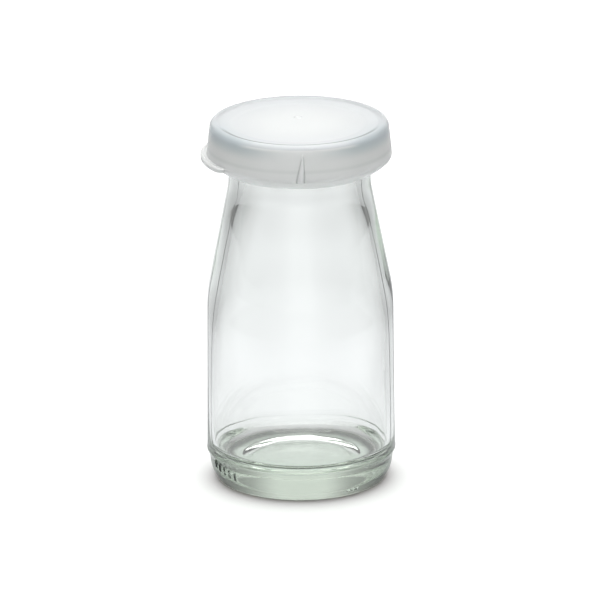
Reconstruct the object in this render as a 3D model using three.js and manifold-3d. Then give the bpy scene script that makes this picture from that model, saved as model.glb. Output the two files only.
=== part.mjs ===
// A small clear glass bottle for a single serving, empty, shut by a soft snap cap with a pull tab.
// Millimetres, +Z up. The origin is on the bottle's axis, in the plane that it stands on.
// The cap's pull tab points to -X, and the cap's rib faces -Y.

import * as THREE from 'three';
import { mergeVertices } from 'three/addons/utils/BufferGeometryUtils.js';
import Module from 'manifold-3d';

const wasm = await Module();
wasm.setup();

// Division of the round shapes
const roundSides = 60;
const curveStep = 3.4;
const smallStep = 1.5;

// Outside of the glass
const bodyRadiusLow = 26.15;
const bodyRadiusHigh = 25.9;
const heelHeight = 9;
const shoulderHeight = 53.4;
const shoulderBend = 4.6;
const neckRadius = 19.7;
const coneTopHeight = 85.1;
const coneBend = 1.6;
const neckTopHeight = 90.4;

// Foot, with the ring that it stands on and the push-up inside that ring
const footRadius = 23.3;
const footCurl = 0.25;
const footCurlHeight = 0.6;
const standRingOuter = 22.6;
const standRingInner = 16.6;
const pushUpRadius = 14.6;
const pushUpHeight = 1.6;
const pushUpCentreHeight = 2.0;

// Finish of the mouth: a thick bead that the cap snaps over
const beadRadius = 23.35;
const beadLowHeight = 93.8;
const beadTopHeight = 101.35;
const beadRound = 1.9;
const mouthRadius = 16.9;
const mouthRound = 1.0;

// Inside of the glass, from the mouth down to the floor
const throatRadius = 15.7;
const throatHeight = 85.5;
const coneInsideRadius = 18.75;
const coneInsideHeight = 71;
const shoulderInsideRadius = 22.3;
const shoulderInsideHeight = 50.5;
const waistInsideRadius = 23.45;
const waistInsideHeight = 35;
const bodyInsideRadius = 23.8;
const floorRoundHeight = 11.4;
const floorRadius = 18.0;
const floorEdgeHeight = 8.0;
const floorCentreHeight = 8.2;

// Cap: a shallow dish inside a rounded rim, over a flared skirt with a lip that turns in under the bead
const capGap = 0.35;
const dishRadius = 18.2;
const dishHeight = 102.2;
const slopeTopRadius = 23.4;
const slopeTopHeight = 102.6;
const rimRadius = 23.85;
const rimHeight = 102.95;
const rimFallRadius = 24.35;
const rimFallHeight = 102.6;
const rimOuterRadius = 24.8;
const rimShoulderHeight = 101.5;
const skirtHollow = 0.35;
const skirtRadius = 25.6;
const skirtLowHeight = 93.8;
const hemRadius = 25.15;
const hemHeight = 92.55;
const lipRadius = 21.8;
const lipHeight = 90.0;
const lipSag = 0.25;
const lipTipRadius = 20.95;
const lipTipHeight = 90.75;
const lipTipRound = 0.1;

// Pull tab, a crescent that stands out of the hem
const tabRadius = 27.35;
const tabRootRadius = 24.7;
const tabHalfAngle = 37;
const tabEndAngle = 8;
const tabLowHeight = 92.55;
const tabThickness = 1.25;
const tabBevel = 0.25;

// Moulded rib on the skirt's front, a drop that tapers upwards
const ribHalfWidth = 1.25;
const ribDepth = 0.8;
const ribLowHeight = 92.7;
const ribTopHeight = 100.9;
const ribTipHalfWidth = 0.3;
const ribTipLength = 0.8;
const ribFullness = 1.35;
const ribSides = 14;

const glassMaterial = () => new THREE.MeshStandardMaterial({
  color: 0xdbe6df,
  roughness: 0.04,
  metalness: 0,
  transparent: true,
  opacity: 0.35,
});

const capMaterial = () => new THREE.MeshStandardMaterial({
  color: 0xdfe3e4,
  roughness: 0.42,
  metalness: 0,
});

// Points along an outline of radius and height: a straight piece keeps its two ends, and a curved
// one is cut into steps of about the given length
function outlinePoints(outline, step) {
  const points = [outline.curves[0].getPoint(0)];
  for (const curve of outline.curves) {
    const pieces = curve.isLineCurve ? 1 : Math.max(3, Math.ceil(curve.getLength() / step));
    for (let i = 1; i <= pieces; i++) {
      points.push(curve.getPoint(i / pieces));
    }
  }
  return points;
}

// Solid of revolution about Z from an outline that starts and ends on the axis
function turned(points) {
  const geometry = new THREE.LatheGeometry(points, roundSides);
  geometry.rotateX(Math.PI / 2);
  geometry.rotateZ(-Math.PI / 2);
  return geometry;
}

// Radius of the straight cone between shoulder and neck, carried on to any height
function coneRadius(height) {
  const slope = (bodyRadiusHigh - neckRadius) / (coneTopHeight - shoulderHeight);
  return bodyRadiusHigh - slope * (height - shoulderHeight);
}

function footOutline(outline) {
  outline.moveTo(0, pushUpCentreHeight);
  outline.quadraticCurveTo(pushUpRadius / 2, pushUpCentreHeight, pushUpRadius, pushUpHeight);
  outline.lineTo(standRingInner, 0);
  outline.lineTo(standRingOuter, 0);
  outline.quadraticCurveTo(footRadius, 0, footRadius + footCurl, footCurlHeight);
  outline.quadraticCurveTo(bodyRadiusLow, heelHeight / 2, bodyRadiusLow, heelHeight);
}

function sideOutline(outline) {
  outline.lineTo(bodyRadiusHigh, shoulderHeight - shoulderBend);
  outline.quadraticCurveTo(
    bodyRadiusHigh, shoulderHeight,
    coneRadius(shoulderHeight + shoulderBend), shoulderHeight + shoulderBend,
  );
  outline.lineTo(coneRadius(coneTopHeight - coneBend), coneTopHeight - coneBend);
  outline.quadraticCurveTo(neckRadius, coneTopHeight, neckRadius, coneTopHeight + coneBend);
  outline.lineTo(neckRadius, neckTopHeight);
}

function mouthOutline(outline) {
  outline.lineTo(beadRadius, beadLowHeight);
  outline.lineTo(beadRadius, beadTopHeight - beadRound);
  const quarter = Math.PI / 2;
  const mouthMiddle = mouthRadius + mouthRound;
  outline.absarc(beadRadius - beadRound, beadTopHeight - beadRound, beadRound, 0, quarter, false);
  outline.lineTo(mouthMiddle, beadTopHeight);
  outline.absarc(mouthMiddle, beadTopHeight - mouthRound, mouthRound, quarter, 2 * quarter, false);
}

function insideOutline(outline) {
  outline.splineThru([
    new THREE.Vector2(throatRadius, throatHeight),
    new THREE.Vector2(coneInsideRadius, coneInsideHeight),
    new THREE.Vector2(shoulderInsideRadius, shoulderInsideHeight),
    new THREE.Vector2(waistInsideRadius, waistInsideHeight),
    new THREE.Vector2(bodyInsideRadius, floorRoundHeight),
  ]);
  outline.absellipse(
    floorRadius, floorRoundHeight,
    bodyInsideRadius - floorRadius, floorRoundHeight - floorEdgeHeight,
    0, -Math.PI / 2, true, 0,
  );
  outline.quadraticCurveTo(floorRadius / 2, floorCentreHeight, 0, floorCentreHeight);
}

function glassBottle() {
  const outline = new THREE.Path();
  footOutline(outline);
  sideOutline(outline);
  mouthOutline(outline);
  insideOutline(outline);
  const points = outlinePoints(outline, curveStep);
  return new THREE.Mesh(turned(points), glassMaterial());
}

function capOutside(outline) {
  const skirtMiddle = (rimShoulderHeight + skirtLowHeight) / 2;
  const hemMiddle = (skirtLowHeight + hemHeight) / 2;
  const lipMiddleRadius = (hemRadius + lipRadius) / 2;
  const lipMiddleHeight = (hemHeight + lipHeight) / 2 - lipSag;
  outline.moveTo(0, dishHeight);
  outline.lineTo(dishRadius, dishHeight);
  outline.quadraticCurveTo((dishRadius + slopeTopRadius) / 2, dishHeight, slopeTopRadius, slopeTopHeight);
  outline.quadraticCurveTo(slopeTopRadius, rimHeight, rimRadius, rimHeight);
  outline.quadraticCurveTo(rimFallRadius, rimHeight, rimFallRadius, rimFallHeight);
  outline.quadraticCurveTo(rimOuterRadius, rimFallHeight, rimOuterRadius, rimShoulderHeight);
  outline.quadraticCurveTo(skirtRadius - skirtHollow, skirtMiddle, skirtRadius, skirtLowHeight);
  outline.quadraticCurveTo(skirtRadius, hemMiddle, hemRadius, hemHeight);
  outline.quadraticCurveTo(lipMiddleRadius, lipMiddleHeight, lipRadius, lipHeight);
}

// The cap's inner side follows the glass bead at an even gap
function capInside(outline) {
  const innerRadius = beadRadius + capGap;
  const innerRound = beadRound + capGap;
  const roundHeight = beadTopHeight - beadRound;
  const grooveHeight = beadLowHeight - capGap;
  outline.quadraticCurveTo(lipTipRadius - lipTipRound, lipHeight - lipTipRound, lipTipRadius, lipTipHeight);
  outline.lineTo(innerRadius, grooveHeight);
  outline.lineTo(innerRadius, roundHeight);
  outline.absarc(innerRadius - innerRound, roundHeight, innerRound, 0, Math.PI / 2, false);
  outline.lineTo(0, beadTopHeight + capGap);
}

function capShell() {
  const outline = new THREE.Path();
  capOutside(outline);
  capInside(outline);
  return turned(outlinePoints(outline, smallStep).reverse());
}

// A ring sector about the cap's axis, centred on -X, whose outer edge turns in at both ends
function tabShape() {
  const middle = Math.PI;
  const half = THREE.MathUtils.degToRad(tabHalfAngle);
  const end = THREE.MathUtils.degToRad(tabEndAngle);
  const at = (radius, angle) => [radius * Math.cos(angle), radius * Math.sin(angle)];
  const reach = tabRadius - tabBevel;
  const shape = new THREE.Shape();
  shape.moveTo(...at(tabRootRadius, middle - half));
  shape.quadraticCurveTo(...at(reach, middle - half), ...at(reach, middle - half + end));
  shape.absarc(0, 0, reach, middle - half + end, middle + half - end, false);
  shape.quadraticCurveTo(...at(reach, middle + half), ...at(tabRootRadius, middle + half));
  shape.absarc(0, 0, tabRootRadius, middle + half, middle - half, true);
  return shape;
}

function pullTab() {
  const geometry = new THREE.ExtrudeGeometry(tabShape(), {
    depth: tabThickness - 2 * tabBevel,
    bevelEnabled: true,
    bevelThickness: tabBevel,
    bevelSize: tabBevel,
    bevelSegments: 1,
    curveSegments: 12,
  });
  return geometry.translate(0, 0, tabLowHeight + tabBevel);
}

// A drop turned about its own length, flattened, leant to the skirt's flare and set half into it
function frontRib() {
  const length = ribTopHeight - ribLowHeight;
  const drop = new THREE.Path();
  const belly = ribFullness * ribHalfWidth;
  drop.moveTo(0, 0);
  drop.bezierCurveTo(belly, 0, belly, length / 2, ribTipHalfWidth, length - ribTipLength);
  drop.quadraticCurveTo(ribTipHalfWidth, length, 0, length);
  const geometry = new THREE.LatheGeometry(outlinePoints(drop, smallStep), ribSides);
  const flare = Math.atan2(skirtRadius - rimOuterRadius, rimShoulderHeight - skirtLowHeight);
  geometry.rotateX(Math.PI / 2);
  geometry.scale(1, ribDepth / ribHalfWidth, 1);
  geometry.rotateX(-flare);
  return geometry.translate(0, -skirtRadius, ribLowHeight);
}

function solid(geometry) {
  const bare = geometry.clone();
  bare.deleteAttribute('normal');
  bare.deleteAttribute('uv');
  const merged = mergeVertices(bare.index ? bare.toNonIndexed() : bare, 1e-4);
  const mesh = new wasm.Mesh({
    numProp: 3,
    vertProperties: new Float32Array(merged.attributes.position.array),
    triVerts: new Uint32Array(merged.index.array),
  });
  return new wasm.Manifold(mesh);
}

function geometryOf(body) {
  const mesh = body.getMesh();
  const geometry = new THREE.BufferGeometry();
  geometry.setAttribute('position', new THREE.BufferAttribute(new Float32Array(mesh.vertProperties), 3));
  geometry.setIndex(new THREE.BufferAttribute(new Uint32Array(mesh.triVerts), 1));
  geometry.computeVertexNormals();
  return geometry;
}

function snapCap() {
  const joined = solid(capShell()).add(solid(pullTab())).add(solid(frontRib()));
  return new THREE.Mesh(geometryOf(joined), capMaterial());
}

const group = new THREE.Group();
const pieces = { glass_bottle: glassBottle(), snap_cap: snapCap() };
for (const [name, mesh] of Object.entries(pieces)) {
  mesh.name = name;
  group.add(mesh);
}

export default group;
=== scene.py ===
import bpy
import math
import numpy as np
from mathutils import Matrix, Vector


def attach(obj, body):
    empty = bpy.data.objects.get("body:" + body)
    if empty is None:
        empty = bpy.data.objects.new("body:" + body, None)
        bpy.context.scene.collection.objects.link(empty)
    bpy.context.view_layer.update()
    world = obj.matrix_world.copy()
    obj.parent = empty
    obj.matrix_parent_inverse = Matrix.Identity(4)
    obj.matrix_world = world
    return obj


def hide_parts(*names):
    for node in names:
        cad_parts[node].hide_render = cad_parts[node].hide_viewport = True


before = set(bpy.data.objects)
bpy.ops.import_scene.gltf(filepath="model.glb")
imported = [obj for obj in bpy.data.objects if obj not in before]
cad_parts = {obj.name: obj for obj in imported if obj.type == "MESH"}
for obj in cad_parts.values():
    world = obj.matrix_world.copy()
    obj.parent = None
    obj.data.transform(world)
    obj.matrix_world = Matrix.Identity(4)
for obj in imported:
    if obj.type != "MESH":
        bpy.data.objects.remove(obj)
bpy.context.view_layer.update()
mm = 0.001
print("frame loaded")


# outline helpers, all in millimetres of radius and height
def straight(points, end, steps):
    start = points[-1]
    for i in range(1, steps + 1):
        t = i / steps
        points.append((start[0] + (end[0] - start[0]) * t, start[1] + (end[1] - start[1]) * t))


def bend(points, control, end, steps):
    start = points[-1]
    for i in range(1, steps + 1):
        t = i / steps
        a, b, c = (1 - t) ** 2, 2 * t * (1 - t), t * t
        points.append(tuple(a * start[k] + b * control[k] + c * end[k] for k in (0, 1)))


def sweep(points, centre, radii, fromAngle, toAngle, steps):
    for i in range(1, steps + 1):
        angle = math.radians(fromAngle + (toAngle - fromAngle) * i / steps)
        points.append((centre[0] + radii[0] * math.cos(angle), centre[1] + radii[1] * math.sin(angle)))


def flow(points, through, stepsEach):
    # a smooth curve from the last point through all the others
    knots = [points[-1]] + list(through)
    last = len(knots) - 1
    for k in range(last):
        p = [knots[max(k - 1, 0)], knots[k], knots[k + 1], knots[min(k + 2, last)]]
        for i in range(1, stepsEach + 1):
            t = i / stepsEach
            points.append(tuple(
                0.5 * (2 * p[1][j] + (p[2][j] - p[0][j]) * t
                       + (2 * p[0][j] - 5 * p[1][j] + 4 * p[2][j] - p[3][j]) * t * t
                       + (3 * p[1][j] - p[0][j] - 3 * p[2][j] + p[3][j]) * t ** 3)
                for j in (0, 1)))


# mesh helpers
def columnAngles(count, denseZones):
    # even columns round the piece, with closer ones where small relief stands
    angles = list(np.linspace(0, 360, count, endpoint=False))
    for low, high, step in denseZones:
        angles = [a for a in angles if not low <= a <= high]
        angles += list(np.arange(low, high + step / 2, step))
    return np.radians(np.array(sorted(set(np.round(angles, 4)))))


def outlineGrid(points, angles):
    # radius and height of each point of the outline in each column
    radius = np.repeat(points[:, :1], len(angles), 1)
    height = np.repeat(points[:, 1:], len(angles), 1)
    return radius, height


def arcAway(angles, degrees, radius):
    # how far round the piece each column is from the given angle
    return np.angle(np.exp(1j * (angles - math.radians(degrees)))) * radius


def softStep(x):
    x = np.clip(x, 0, 1)
    return x * x * (3 - 2 * x)


def turnedGrid(radius, height, angles):
    # radius and height are rows by columns; first and last row are the two poles
    rows, columns = radius.shape
    verts = [(0, 0, height[0].mean() * mm)]
    for r in range(1, rows - 1):
        x = radius[r] * np.cos(angles) * mm
        y = radius[r] * np.sin(angles) * mm
        verts += list(zip(x, y, height[r] * mm))
    verts.append((0, 0, height[-1].mean() * mm))
    base = 1 + (rows - 3) * columns
    faces = []
    for c in range(columns):
        n = (c + 1) % columns
        faces.append((0, 1 + n, 1 + c))
        for r in range(rows - 3):
            a, b = 1 + r * columns + c, 1 + r * columns + n
            faces.append((a, b, b + columns, a + columns))
        faces.append((base + c, base + n, len(verts) - 1))
    return verts, faces


def meshFrom(name, verts, faces, material):
    mesh = bpy.data.meshes.new(name)
    mesh.from_pydata([tuple(v) for v in verts], [], faces)
    mesh.validate()
    mesh.materials.append(material)
    for polygon in mesh.polygons:
        polygon.use_smooth = True
    piece = bpy.data.objects.new(name, mesh)
    bpy.context.scene.collection.objects.link(piece)
    return piece


# glass bottle; the eases are the short rounded stretches between two forms
glass = dict(
    pushUp=13.0, pushUpHeight=0.8, pushUpCentre=1.1,
    bevelEase=0.7, bevelDrop=0.1, bevelLow=0.2,
    ringInner=16.6, ringOuter=22.6, ringEase=0.2, ringLift=0.05, ringFlat=0.3,
    foot=23.3, footCurl=0.25, footCurlHeight=0.6,
    bodyLow=26.15, bodyHigh=25.9, heel=9, seat=2, seatDraft=0.02,
    shoulder=53.4, shoulderBend=4.6, coneTop=85.1, coneBend=1.6,
    neck=19.7, neckTop=90.4, neckEase=0.7,
    bead=23.35, beadLow=93.8, beadTop=101.35, beadRound=1.9, beadEase=0.8, beadSlope=(0.18, 0.8),
    mouth=16.9, mouthRound=1.0,
    inside=((15.7, 85.5), (18.75, 71), (22.3, 50.5), (23.45, 35), (23.8, 11.4)),
    floor=18.0, floorEdge=8.0, floorCentre=8.2,
)
# the columns are closer at the seams, the ticks and the dots: from, to and step in degrees
glassColumns = dict(
    even=250,
    dense=((187, 190.5, 0.25), (196, 226, 0.36), (298, 312, 0.36), (350.2, 353.7, 0.25)),
)


def coneRadius(g, z):
    return g["bodyHigh"] - (g["bodyHigh"] - g["neck"]) * (z - g["shoulder"]) / (g["coneTop"] - g["shoulder"])


def glassFoot(points, g):
    bend(points, (g["pushUp"] / 2, g["pushUpCentre"]), (g["pushUp"], g["pushUpHeight"]), steps=8)
    bend(points, (g["pushUp"] + g["bevelEase"], g["pushUpHeight"] - g["bevelDrop"]),
         (g["ringInner"] - g["bevelEase"], g["bevelLow"]), steps=8)
    bend(points, (g["ringInner"] - g["ringEase"], g["ringLift"]), (g["ringInner"] + g["ringFlat"], 0), steps=4)
    straight(points, (g["ringOuter"], 0), steps=3)
    bend(points, (g["foot"], 0), (g["foot"] + g["footCurl"], g["footCurlHeight"]), steps=5)
    bend(points, (g["bodyLow"], g["heel"] / 2), (g["bodyLow"], g["heel"]), steps=36)


def glassWall(points, g):
    straight(points, (g["bodyLow"] - g["seatDraft"], g["heel"] + g["seat"]), steps=10)
    straight(points, (g["bodyHigh"], g["shoulder"] - g["shoulderBend"]), steps=14)
    coneLow, coneHigh = g["shoulder"] + g["shoulderBend"], g["coneTop"] - g["coneBend"]
    bend(points, (g["bodyHigh"], g["shoulder"]), (coneRadius(g, coneLow), coneLow), steps=10)
    straight(points, (coneRadius(g, coneHigh), coneHigh), steps=10)
    bend(points, (g["neck"], g["coneTop"]), (g["neck"], g["coneTop"] + g["coneBend"]), steps=6)
    straight(points, (g["neck"], g["neckTop"] - g["neckEase"]), steps=2)


def glassMouth(points, g):
    slopeOut, slopeUp = g["bead"] - g["neck"], g["beadLow"] - g["neckTop"]
    slopeFrom, slopeTo = [(g["neck"] + share * slopeOut, g["neckTop"] + share * slopeUp)
                          for share in g["beadSlope"]]
    bend(points, (g["neck"], g["neckTop"]), slopeFrom, steps=4)
    straight(points, slopeTo, steps=2)
    bend(points, (g["bead"], g["beadLow"]), (g["bead"], g["beadLow"] + g["beadEase"]), steps=5)
    straight(points, (g["bead"], g["beadTop"] - g["beadRound"]), steps=2)
    centre = (g["bead"] - g["beadRound"], g["beadTop"] - g["beadRound"])
    sweep(points, centre, (g["beadRound"],) * 2, 0, 90, steps=8)
    straight(points, (g["mouth"] + g["mouthRound"], g["beadTop"]), steps=3)
    centre = (g["mouth"] + g["mouthRound"], g["beadTop"] - g["mouthRound"])
    sweep(points, centre, (g["mouthRound"],) * 2, 90, 180, steps=6)


def glassInside(points, g):
    flow(points, g["inside"], stepsEach=9)
    wallRadius, wallHeight = points[-1]
    radii = (wallRadius - g["floor"], wallHeight - g["floorEdge"])
    sweep(points, (g["floor"], wallHeight), radii, 0, -90, steps=18)
    bend(points, (g["floor"] / 2, g["floorCentre"]), (0, g["floorCentre"]), steps=8)


def glassOutline(g):
    points = [(0, g["pushUpCentre"])]
    glassFoot(points, g)
    glassWall(points, g)
    glassMouth(points, g)
    outside = len(points)
    glassInside(points, g)
    return np.array(points), outside


# plain raised mould marks low on the heel: a row of ticks and a row of dots, each half as (width, height)
mouldMarks = dict(
    tickCount=5, tickFrom=-158, tickEvery=5.2, tickHeight=6.3, tickFall=0.35, tickHalf=(0.36, 1.15),
    dotCount=3, dotFrom=-58, dotEvery=3.4, dotHeight=1.9, dotHalf=(0.42, 0.42),
    proud=0.42, edge=0.26, spread=1.6,
)


def markRelief(angles, radius, height):
    m = mouldMarks
    marks = [(m["tickFrom"] + m["tickEvery"] * i, m["tickHeight"] - m["tickFall"] * i, m["tickHalf"])
             for i in range(m["tickCount"])]
    marks += [(m["dotFrom"] + m["dotEvery"] * i, m["dotHeight"], m["dotHalf"]) for i in range(m["dotCount"])]
    relief = np.zeros_like(radius)
    for degrees, z, (halfWidth, halfHeight) in marks:
        aside = np.abs(arcAway(angles, degrees, radius)) - halfWidth + m["edge"]
        above = np.abs(height - z) - halfHeight + m["edge"]
        reach = np.hypot(np.maximum(aside, 0), np.maximum(above, 0))
        relief = np.maximum(relief, 1 - softStep(reach / (m["edge"] * m["spread"])))
    return relief * m["proud"]


# the fine ring and the step where the mould's bottom plate met its sides, and the seams of its two halves
mouldSeam = dict(
    heelLow=0.7, heelHigh=12,
    ringHeight=8.7, ringWidth=0.28, ringProud=0.12,
    step=0.5, stepFrom=8.5, stepTo=6.9, stepFoot=1.5,
    sides=(-171.5, -8.0), sideWidth=0.3, sideProud=0.06, sideLow=1.5, sideTop=89,
)


def seamRelief(height):
    s = mouldSeam
    ring = s["ringProud"] * np.exp(-((height - s["ringHeight"]) / s["ringWidth"]) ** 2)
    stepped = softStep((s["stepFrom"] - height) / (s["stepFrom"] - s["stepTo"]))
    kept = softStep((height - s["stepFoot"]) / (s["stepTo"] - s["stepFoot"]))
    return ring - s["step"] * stepped * kept


# the inner wall's slow waves, each as (depth, waves round, turn per millimetre, start)
innerWaves = dict(
    waves=((0.16, 2, 0.030, 0.9), (0.10, 3, -0.06, 0), (0.05, 5, 0.11, 2)),
    low=8, fadeIn=10, high=97, fadeOut=12,
)


def waveRelief(angles, height):
    w = innerWaves
    fade = softStep((height - w["low"]) / w["fadeIn"]) * softStep((w["high"] - height) / w["fadeOut"])
    wave = sum(depth * np.sin(count * angles + turn * height + start)
               for depth, count, turn, start in w["waves"])
    return wave * fade


def makeBottle(material):
    points, outside = glassOutline(glass)
    angles = columnAngles(glassColumns["even"], glassColumns["dense"])
    radius, height = outlineGrid(points, angles)
    onOutside = (np.arange(len(points)) < outside)[:, None]
    onHeel = onOutside & (height > mouldSeam["heelLow"]) & (height < mouldSeam["heelHigh"])
    radius = radius + np.where(onHeel, markRelief(angles[None, :], radius, height), 0)
    radius = radius + np.where(onHeel, seamRelief(height), 0)
    upright = onOutside & (height > mouldSeam["sideLow"]) & (height < mouldSeam["sideTop"])
    for side in mouldSeam["sides"]:
        away = arcAway(angles, side, radius)
        line = mouldSeam["sideProud"] * np.exp(-(away / mouldSeam["sideWidth"]) ** 2)
        radius = radius + np.where(upright, line, 0)
    # the outside follows the mould; the inside is free and a little uneven
    radius = radius + np.where(onOutside, 0, waveRelief(angles, height))
    verts, faces = turnedGrid(radius, height, angles)
    return meshFrom("clearBottle", verts, faces, material)


# snap cap with its pull tab, its front rib and the small ring that the mould leaves on the dish
cap = dict(
    dish=18.2, dishHeight=102.2, dishEase=0.7, dishLift=0.12, slopeLift=0.32,
    slope=21.9, slopeHeight=102.66, rim=23.3, rimHeight=102.95, rimEase=0.5,
    rimOuter=24.8, rimShoulder=101.5, rimRound=0.25,
    skirt=25.6, skirtLow=93.8, skirtHollow=0.35, hem=92.55, hemRadius=25.15, hemSag=0.25,
    lip=21.8, lipHeight=90.0, lipTip=20.95, lipTipHeight=90.75, lipEase=0.1, gap=0.35,
)
# the columns are closer at the dish's mark, the tab's two corners and the rib
capColumns = dict(
    even=240,
    dense=((76, 104, 1.0), (140, 156, 0.5), (204, 220, 0.5), (260, 282, 0.2)),
)
# the tab's bead is given as (share of the reach, share of the bead's height)
tab = dict(
    reach=27.35, half=37, corner=8, thickness=1.25, round=0.35, bead=0.22,
    beadForm=((0.25, 0), (0.45, 0), (0.58, 0.6), (0.7, 1), (0.82, 0.6), (1, 0.1)),
)
rib = dict(
    halfWidth=1.15, tip=0.14, taper=0.8, proud=1.25, fullness=0.4, thinning=0.5,
    low=92.7, top=100.9, fadeLow=0.04, fadeTop=0.12, angle=-89.3, lean=0.6, wall=24.7,
)
gateMark = dict(side=-0.3, behind=5.2, ring=0.75, width=0.34, proud=0.2, rowsFrom=3.6, rowsTo=6.8, low=102.0)


def capOutline(c, g):
    points = [(0, c["dishHeight"])]
    straight(points, (gateMark["rowsFrom"], c["dishHeight"]), steps=3)
    straight(points, (gateMark["rowsTo"], c["dishHeight"]), steps=20)
    straight(points, (c["dish"] - c["dishEase"], c["dishHeight"]), steps=8)
    bend(points, (c["dish"], c["dishHeight"]),
         (c["dish"] + c["dishEase"], c["dishHeight"] + c["dishLift"]), steps=6)
    bend(points, ((c["dish"] + c["rim"]) / 2, c["dishHeight"] + c["slopeLift"]),
         (c["slope"], c["slopeHeight"]), steps=8)
    bend(points, (c["rim"] - c["rimEase"], c["rimHeight"]), (c["rim"], c["rimHeight"]), steps=7)
    bend(points, (c["rimOuter"] - c["rimRound"], c["rimHeight"]), (c["rimOuter"], c["rimShoulder"]), steps=13)
    middle = (c["skirt"] - c["skirtHollow"], (c["rimShoulder"] + c["skirtLow"]) / 2)
    bend(points, middle, (c["skirt"], c["skirtLow"]), steps=40)
    tabFrom = len(points) - 1
    bend(points, (c["skirt"], (c["skirtLow"] + c["hem"]) / 2), (c["hemRadius"], c["hem"]), steps=20)
    tabTo = len(points) - 1
    middle = ((c["hemRadius"] + c["lip"]) / 2, (c["hem"] + c["lipHeight"]) / 2 - c["hemSag"])
    bend(points, middle, (c["lip"], c["lipHeight"]), steps=10)
    bend(points, (c["lipTip"] - c["lipEase"], c["lipHeight"] - c["lipEase"]),
         (c["lipTip"], c["lipTipHeight"]), steps=5)
    # the inside is an even shell round the mouth's bead
    innerRadius, innerRound = g["bead"] + c["gap"], g["beadRound"] + c["gap"]
    roundHeight = g["beadTop"] - g["beadRound"]
    straight(points, (innerRadius, g["beadLow"] - c["gap"]), steps=4)
    straight(points, (innerRadius, roundHeight), steps=4)
    sweep(points, (innerRadius - innerRound, roundHeight), (innerRound,) * 2, 0, 90, steps=6)
    straight(points, (0, g["beadTop"] + c["gap"]), steps=6)
    return np.array(points), tabFrom, tabTo


def ribRelief(angles, radius, height):
    t = np.clip((height - rib["low"]) / (rib["top"] - rib["low"]), 0, 1)
    width = rib["halfWidth"] * (1 - t) ** rib["taper"] + rib["tip"]
    away = arcAway(angles, rib["angle"], radius) - rib["lean"] * t
    across = np.clip(1 - (away / width) ** 2, 0, 1)
    fade = softStep(t / rib["fadeLow"]) * softStep((1 - t) / rib["fadeTop"])
    return rib["proud"] * across ** rib["fullness"] * fade * (1 - rib["thinning"] * t)


def tabSection(count):
    # the flange from its root on top, round its edge, to its root below
    top, low = cap["skirtLow"], cap["skirtLow"] - tab["thickness"]
    soft = tab["round"]
    reach = tab["reach"] - soft
    path = [(cap["skirt"], top)]
    for share, lift in tab["beadForm"]:
        path.append((cap["skirt"] + (reach - cap["skirt"]) * share, top + tab["bead"] * lift))
    sweep(path, (reach, top - soft), (soft, soft), 70, 0, steps=3)
    sweep(path, (reach, low + soft), (soft, soft), 0, -90, steps=4)
    straight(path, (cap["hemRadius"], low), steps=count - len(path))
    return np.array(path)


def gateRelief(angles, radius):
    x, y = radius * np.cos(angles), radius * np.sin(angles)
    away = np.hypot(x - gateMark["side"], y - gateMark["behind"])
    return gateMark["proud"] * np.exp(-((away - gateMark["ring"]) / gateMark["width"]) ** 2)


def makeCap(material):
    points, tabFrom, tabTo = capOutline(cap, glass)
    angles = columnAngles(capColumns["even"], capColumns["dense"])
    radius, height = outlineGrid(points, angles)
    onSkirt = (radius > rib["wall"]) & (height < cap["rimShoulder"])
    radius = radius + np.where(onSkirt, ribRelief(angles[None, :], radius, height), 0)
    # the pull tab grows out of the hem
    half, corner = math.radians(tab["half"]), math.radians(tab["corner"])
    over = np.clip((np.abs(angles - math.pi) - (half - corner)) / corner, 0, 1)
    grown = np.sqrt(1 - over ** 2)
    section = tabSection(tabTo - tabFrom + 1)
    rows = slice(tabFrom, tabTo + 1)
    radius[rows] += (section[:, :1] - radius[rows]) * grown
    height[rows] += (section[:, 1:] - height[rows]) * grown
    height = height + np.where(height > gateMark["low"], gateRelief(angles, radius), 0)
    verts, faces = turnedGrid(radius, height, angles)
    outward = [tuple(reversed(face)) for face in faces]
    return meshFrom("frostedCap", verts, outward, material)


# material helpers; a value is a number, a colour or another node's output
mixSocket = dict(share=0, base=6, over=7, result=2)


def newMaterial(name):
    material = bpy.data.materials.new(name)
    material.use_nodes = True
    return material, material.node_tree, material.node_tree.nodes["Principled BSDF"]


def feed(tree, socket, value):
    if isinstance(value, tuple):
        socket.default_value = (*value, 1)
    elif isinstance(value, (int, float)):
        socket.default_value = value
    else:
        tree.links.new(value, socket)


def ramp(tree, source, span, start=0, end=1, unit=1):
    # a soft step from start to end while the source runs over the span
    step = tree.nodes.new("ShaderNodeMapRange")
    step.interpolation_type = "SMOOTHSTEP"
    values = (("From Min", span[0] * unit), ("From Max", span[1] * unit), ("To Min", start), ("To Max", end))
    for socket, value in values:
        step.inputs[socket].default_value = value
    tree.links.new(source, step.inputs["Value"])
    return step.outputs[0]


def calculate(tree, operation, *values):
    step = tree.nodes.new("ShaderNodeMath")
    step.operation = operation
    for i, value in enumerate(values):
        feed(tree, step.inputs[i], value)
    return step.outputs[0]


def times(tree, first, *others):
    for other in others:
        first = calculate(tree, "MULTIPLY", first, other)
    return first


def rest(tree, share):
    return calculate(tree, "SUBTRACT", 1.0, share)


def mixColor(tree, share, base, over):
    mix = tree.nodes.new("ShaderNodeMix")
    mix.data_type = "RGBA"
    for name, value in (("share", share), ("base", base), ("over", over)):
        feed(tree, mix.inputs[mixSocket[name]], value)
    return mix.outputs[mixSocket["result"]]


def placeParts(tree, kind):
    # the x, y and z of the point, or of the direction where the world asks
    place = tree.nodes.new("ShaderNodeTexCoord").outputs[kind]
    split = tree.nodes.new("ShaderNodeSeparateXYZ")
    tree.links.new(place, split.inputs[0])
    return split.outputs["X"], split.outputs["Y"], split.outputs["Z"]


def squareAway(tree, x, y):
    return calculate(tree, "ADD", times(tree, x, x), times(tree, y, y))


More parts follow.
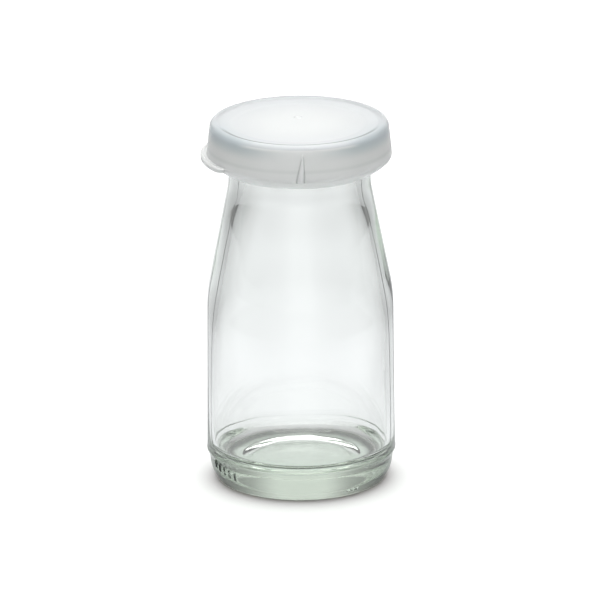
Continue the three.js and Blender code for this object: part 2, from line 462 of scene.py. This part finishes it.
def awayFromAxis(tree, x, y):
    return calculate(tree, "SQRT", squareAway(tree, x, y))


def letLampsThrough(tree, shader, color):
    # lamps and sky shine through the piece onto what stands behind it
    path = tree.nodes.new("ShaderNodeLightPath")
    lighting = calculate(tree, "MAXIMUM", path.outputs["Is Shadow Ray"], path.outputs["Is Diffuse Ray"])
    clear = tree.nodes.new("ShaderNodeBsdfTransparent")
    feed(tree, clear.inputs["Color"], color)
    mix = tree.nodes.new("ShaderNodeMixShader")
    for i, source in enumerate((lighting, shader.outputs[0], clear.outputs[0])):
        tree.links.new(source, mix.inputs[i])
    tree.links.new(mix.outputs[0], tree.nodes["Material Output"].inputs["Surface"])


# clear glass: spans in millimetres of height and radius
glassLook = dict(
    ior=1.52, tint=(0.71, 0.79, 0.70), density=28,
    rippleScale=90, rippleDetail=2, rippleStretch=(1, 1, 0.45), rippleStrength=0.16, rippleDistance=0.0006,
    stipple=0.4, stippleHeight=(0.3, 1.0), stippleReach=(22.2, 22.8),
    through=(0.93, 0.95, 0.93), throughHeel=(0.06, 0.045, 0.035),
    heelReach=(20.5, 23.5), heelHeight=(3, 11),
)


def addRipple(tree, shader, look):
    # a faint unevenness from the mould, drawn out along the height
    place = tree.nodes.new("ShaderNodeTexCoord").outputs["Object"]
    drawn = tree.nodes.new("ShaderNodeVectorMath")
    drawn.operation = "MULTIPLY"
    drawn.inputs[1].default_value = look["rippleStretch"]
    tree.links.new(place, drawn.inputs[0])
    noise = tree.nodes.new("ShaderNodeTexNoise")
    noise.inputs["Scale"].default_value = look["rippleScale"]
    noise.inputs["Detail"].default_value = look["rippleDetail"]
    tree.links.new(drawn.outputs[0], noise.inputs["Vector"])
    bump = tree.nodes.new("ShaderNodeBump")
    bump.inputs["Strength"].default_value = look["rippleStrength"]
    bump.inputs["Distance"].default_value = look["rippleDistance"]
    tree.links.new(noise.outputs[0], bump.inputs["Height"])
    tree.links.new(bump.outputs[0], shader.inputs["Normal"])


def clearGlass(look):
    material, tree, shader = newMaterial("clearGlass")
    feed(tree, shader.inputs["Base Color"], (1, 1, 1))
    feed(tree, shader.inputs["IOR"], look["ior"])
    feed(tree, shader.inputs["Transmission Weight"], 1.0)
    addRipple(tree, shader, look)
    x, y, z = placeParts(tree, "Object")
    away = awayFromAxis(tree, x, y)
    # the edge of the foot is stippled and worn
    stippled = times(tree, ramp(tree, z, look["stippleHeight"], look["stipple"], 0, unit=mm),
                     ramp(tree, away, look["stippleReach"], unit=mm))
    tree.links.new(stippled, shader.inputs["Roughness"])
    # the curved heel bends the light of the lamps away, which leaves a dark line where the bottle stands
    heelShare = times(tree, ramp(tree, away, look["heelReach"], unit=mm),
                      ramp(tree, z, look["heelHeight"], 1, 0, unit=mm))
    letLampsThrough(tree, shader, mixColor(tree, heelShare, look["through"], look["throughHeel"]))
    tint = tree.nodes.new("ShaderNodeVolumeAbsorption")
    feed(tree, tint.inputs["Color"], look["tint"])
    feed(tree, tint.inputs["Density"], look["density"])
    tree.links.new(tint.outputs["Volume"], tree.nodes["Material Output"].inputs["Volume"])
    return material


# frosted plastic: colours, painted shade and painted highlights, spans in millimetres and shares of each tone
plasticLook = dict(
    roughness=0.22, ior=1.51, transmission=0.45, subsurface=0.6, subsurfaceDepth=0.0015,
    # the white on the next line is painted light: the lip's paleness and the rib's highlight
    through=(0.66, 0.67, 0.67), body=(0.95, 0.955, 0.94), paintedLight=(1, 1, 1),
    # painted shade: the dish's grey towards its edge
    dish=(0.72, 0.74, 0.76), dishHeight=(101.8, 102.1), dishReach=(4, 22), dishLeast=0.5,
    # painted shade: the darker, bluer band below the rim, on the front half and most of all at the sides
    rimShadeBand=(0.66, 0.71, 0.735), bandHeight=(97.5, 101.2), bandReach=(16.5, 23.6),
    bandSide=(2, 19), bandLeast=0.12, bandFront=(4, -8), crestFront=(-17.5, -21.5), crestHeight=(101.0, 101.8),
    # painted shade: the fine dark line at the front of the dish's meeting with the rim
    creaseShade=(0.12, 0.14, 0.14), creaseIn=(21.2, 21.9), creaseOut=(22.4, 23.1),
    creaseHeight=(102.3, 102.5), creaseFront=(-4, -12), creaseShare=0.7,
    # painted light: the thin lip is paler, as light shows through it
    lipHeight=(92.3, 92.8),
    # painted shade: the faint line where the glass bead sits behind the skirt
    bead=(0.5, 0.52, 0.52), beadRise=(95.0, 95.8), beadFall=(95.8, 96.8), beadShare=0.2,
    ribTip=0.3, ribLow=(92.6, 93.0), ribHigh=(99.0, 100.6), ribFront=(-18, -22),
    # painted highlight along the rib's core and painted shade along its flanks
    coreHighlight=(0.75, 0.55), flankShade=(0.36, 0.38, 0.38), flankIn=(0.55, 0.85), flankOut=(1.25, 1.0), flankShare=0.4,
)


def ribHighlightAndShade(tree, look, x, y, z, below):
    # the rib is solid plastic, with a painted highlight along its core and painted shade along its two flanks
    upward = (rib["low"], rib["top"])
    foot = cap["skirt"] * math.cos(math.radians(rib["angle"]))
    width = ramp(tree, z, upward, rib["halfWidth"] * mm, look["ribTip"] * mm, unit=mm)
    line = ramp(tree, z, upward, foot * mm, (foot + rib["lean"]) * mm, unit=mm)
    aside = calculate(tree, "ABSOLUTE", calculate(tree, "SUBTRACT", x, line))
    across = calculate(tree, "DIVIDE", aside, width)
    reach = times(tree, ramp(tree, z, look["ribLow"], unit=mm), ramp(tree, z, look["ribHigh"], 1, 0, unit=mm),
                  ramp(tree, y, look["ribFront"], unit=mm))
    flankShade = times(tree, ramp(tree, across, look["flankIn"]), ramp(tree, across, look["flankOut"]),
                  reach, look["flankShare"])
    coreHighlight = times(tree, ramp(tree, across, look["coreHighlight"]), reach)
    return mixColor(tree, coreHighlight, mixColor(tree, flankShade, below, look["flankShade"]), look["paintedLight"])


def plasticColourAndShade(tree, look):
    x, y, z = placeParts(tree, "Object")
    away = awayFromAxis(tree, x, y)
    # painted shade: the dish greys towards its edge
    dishShade = times(tree, ramp(tree, z, look["dishHeight"], unit=mm),
                   ramp(tree, away, look["dishReach"], look["dishLeast"], 1, unit=mm))
    tone = mixColor(tree, dishShade, look["body"], look["dish"])
    # painted shade: a darker, bluer band below the rim on the front half, most of all at the sides
    sideways = ramp(tree, calculate(tree, "ABSOLUTE", x), look["bandSide"], look["bandLeast"], 1, unit=mm)
    crest = calculate(tree, "MAXIMUM", ramp(tree, y, look["crestFront"], 1, 0, unit=mm),
                      ramp(tree, z, look["crestHeight"], 1, 0, unit=mm))
    rimShadeBand = times(tree, ramp(tree, z, look["bandHeight"], unit=mm),
                 ramp(tree, away, look["bandReach"], unit=mm),
                 ramp(tree, y, look["bandFront"], unit=mm), sideways, crest)
    tone = mixColor(tree, rimShadeBand, tone, look["rimShadeBand"])
    # painted shade: a fine dark line where the front of the dish meets the rim
    line = times(tree, ramp(tree, away, look["creaseIn"], unit=mm),
                 ramp(tree, away, look["creaseOut"], 1, 0, unit=mm),
                 ramp(tree, z, look["creaseHeight"], unit=mm),
                 ramp(tree, y, look["creaseFront"], 0, look["creaseShare"], unit=mm))
    tone = mixColor(tree, line, tone, look["creaseShade"])
    # painted light: the thin lip is paler, as light shows through it
    tone = mixColor(tree, ramp(tree, z, look["lipHeight"], 1, 0, unit=mm), tone, look["paintedLight"])
    # painted shade: a faint dark line where the glass bead sits behind the skirt
    bead = times(tree, ramp(tree, z, look["beadRise"], 0, look["beadShare"], unit=mm),
                 ramp(tree, z, look["beadFall"], 1, 0, unit=mm))
    tone = mixColor(tree, bead, tone, look["bead"])
    return ribHighlightAndShade(tree, look, x, y, z, tone)


def frostedPlastic(look):
    material, tree, shader = newMaterial("frostedPlastic")
    tree.links.new(plasticColourAndShade(tree, look), shader.inputs["Base Color"])
    feed(tree, shader.inputs["Roughness"], look["roughness"])
    feed(tree, shader.inputs["IOR"], look["ior"])
    feed(tree, shader.inputs["Transmission Weight"], look["transmission"])
    feed(tree, shader.inputs["Subsurface Weight"], look["subsurface"])
    shader.inputs["Subsurface Radius"].default_value = (1, 1, 1)
    feed(tree, shader.inputs["Subsurface Scale"], look["subsurfaceDepth"])
    letLampsThrough(tree, shader, look["through"])
    return material


bottle = makeBottle(clearGlass(glassLook))
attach(bottle, "root")
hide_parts("glass_bottle")
print("bottle made", len(bottle.data.polygons))

capPiece = makeCap(frostedPlastic(plasticLook))
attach(capPiece, "root")
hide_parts("snap_cap")
print("cap made", len(capPiece.data.polygons))


# the set, in metres: the seen values are what the glass shows of the floor, near and far, with painted shade
studio = dict(
    floorSize=3.0, floorColor=(0.98, 0.98, 0.98), floorRoughness=0.9, floorDrop=0.0001,
    seenColor=(0.89, 0.905, 0.92), seenNear=0.87, seenFar=0.6, seenSpan=(0.04, 0.5),
    cornerSpan=(0.3, 1.0), cornerReach=(0.0, 0.13), cornerLoss=0.27, leastSquare=1e-6,
    footInner=(0.0175, 0.0205), footOuter=(0.0212, 0.0235), footLoss=0.9,
    skyBack=0.93, skyFront=0.88, skySpan=(-0.75, -0.05), skyCornerLoss=0.6, skyCornerSpan=(0.35, 0.8),
    boardSpan=(0.45, 0.92), boardLoss=0.85, boardTop=(0.35, 0.7),
    lampPower=22.0, lampSize=2.0, lampPlace=(0, 0.4, 1.6), lampAim=(0, 0, 0.05),
)
# the camera that fits the photo: degrees, metres, pixels and, for where it looks, millimetres
photoView = dict(
    elevation=18.12, roll=-0.38, distance=3.205, focalPixels=11554.0, imageWidth=600.0, sensor=36, clip=50,
    lookHeight=50.83, lookSide=-0.09,
)


def cornerShare(tree, x, y):
    # 0 towards the four straight directions, 1 towards the four corners of the set
    across = calculate(tree, "ABSOLUTE", times(tree, x, y))
    square = calculate(tree, "MAXIMUM", squareAway(tree, x, y), studio["leastSquare"])
    share = calculate(tree, "DIVIDE", times(tree, across, 2.0), square)
    return ramp(tree, share, studio["cornerSpan"])


def makeFloor():
    # pale paper, white to the camera; wherever the glass mirrors or bends it, painted shade makes it greyer
    # with distance and towards the corners of the set
    material, tree, shader = newMaterial("paleFloor")
    x, y, _ = placeParts(tree, "Object")
    away = awayFromAxis(tree, x, y)
    distanceShade = ramp(tree, away, studio["seenSpan"], studio["seenNear"], studio["seenFar"])
    loss = ramp(tree, away, studio["cornerReach"], 0, studio["cornerLoss"])
    corner = rest(tree, times(tree, loss, cornerShare(tree, x, y)))
    # hardly any light gets under the foot
    foot = times(tree, ramp(tree, away, studio["footInner"], 0, studio["footLoss"]),
                 ramp(tree, away, studio["footOuter"], 1, 0))
    seen = mixColor(tree, times(tree, distanceShade, corner, rest(tree, foot)), (0, 0, 0), studio["seenColor"])
    path = tree.nodes.new("ShaderNodeLightPath")
    paper = mixColor(tree, path.outputs["Is Camera Ray"], seen, studio["floorColor"])
    tree.links.new(paper, shader.inputs["Base Color"])
    feed(tree, shader.inputs["Roughness"], studio["floorRoughness"])
    half = studio["floorSize"] / 2
    corners = [(-half, -half, 0), (half, -half, 0), (half, half, 0), (-half, half, 0)]
    floor = meshFrom("studioFloor", corners, [(0, 1, 2, 3)], material)
    floor.location.z = -studio["floorDrop"]


def makeLamp():
    data = bpy.data.lights.new("topLight", "AREA")
    data.shape = "DISK"
    data.size = studio["lampSize"]
    data.energy = studio["lampPower"]
    lamp = bpy.data.objects.new("topLight", data)
    bpy.context.scene.collection.objects.link(lamp)
    place, aim = Vector(studio["lampPlace"]), Vector(studio["lampAim"])
    lamp.location = place
    lamp.rotation_euler = (aim - place).to_track_quat("-Z", "Y").to_euler()


def makeWorld():
    world = bpy.data.worlds.new("studioWorld")
    world.use_nodes = True
    tree = world.node_tree
    x, y, z = placeParts(tree, "Generated")
    sky = ramp(tree, y, studio["skySpan"], studio["skyFront"], studio["skyBack"])
    darker = ramp(tree, z, studio["skyCornerSpan"], studio["skyCornerLoss"], 0)
    corner = rest(tree, times(tree, darker, cornerShare(tree, x, y)))
    # dark boards at the left and right, which draw the edges of the glass
    sideways = ramp(tree, calculate(tree, "ABSOLUTE", x), studio["boardSpan"], 0, studio["boardLoss"])
    board = rest(tree, times(tree, sideways, ramp(tree, z, studio["boardTop"], 1, 0)))
    background = tree.nodes["Background"]
    tree.links.new(times(tree, sky, corner, board), background.inputs["Strength"])
    feed(tree, background.inputs["Color"], (1, 1, 1))
    bpy.context.scene.world = world


def makeCamera():
    data = bpy.data.cameras.new("photoCamera")
    data.sensor_width = photoView["sensor"]
    data.lens = photoView["focalPixels"] / photoView["imageWidth"] * photoView["sensor"]
    data.clip_end = photoView["clip"]
    camera = bpy.data.objects.new("photoCamera", data)
    bpy.context.scene.collection.objects.link(camera)
    tilt = math.radians(photoView["elevation"])
    aim = Vector((photoView["lookSide"] * mm, 0, photoView["lookHeight"] * mm))
    camera.location = aim + photoView["distance"] * Vector((0, -math.cos(tilt), math.sin(tilt)))
    turn = (aim - camera.location).to_track_quat("-Z", "Y").to_matrix()
    turn = turn @ Matrix.Rotation(math.radians(photoView["roll"]), 3, "Z")
    camera.rotation_euler = turn.to_euler()
    bpy.context.scene.camera = camera


makeFloor()
makeWorld()
makeLamp()
makeCamera()
bpy.context.scene.view_settings.view_transform = "Standard"
# thick glass needs longer light paths, or its edges turn black
lightPaths = bpy.context.scene.cycles
lightPaths.max_bounces = 32
lightPaths.glossy_bounces = 16
lightPaths.transmission_bounces = 24
lightPaths.transparent_max_bounces = 16
print("studio made")
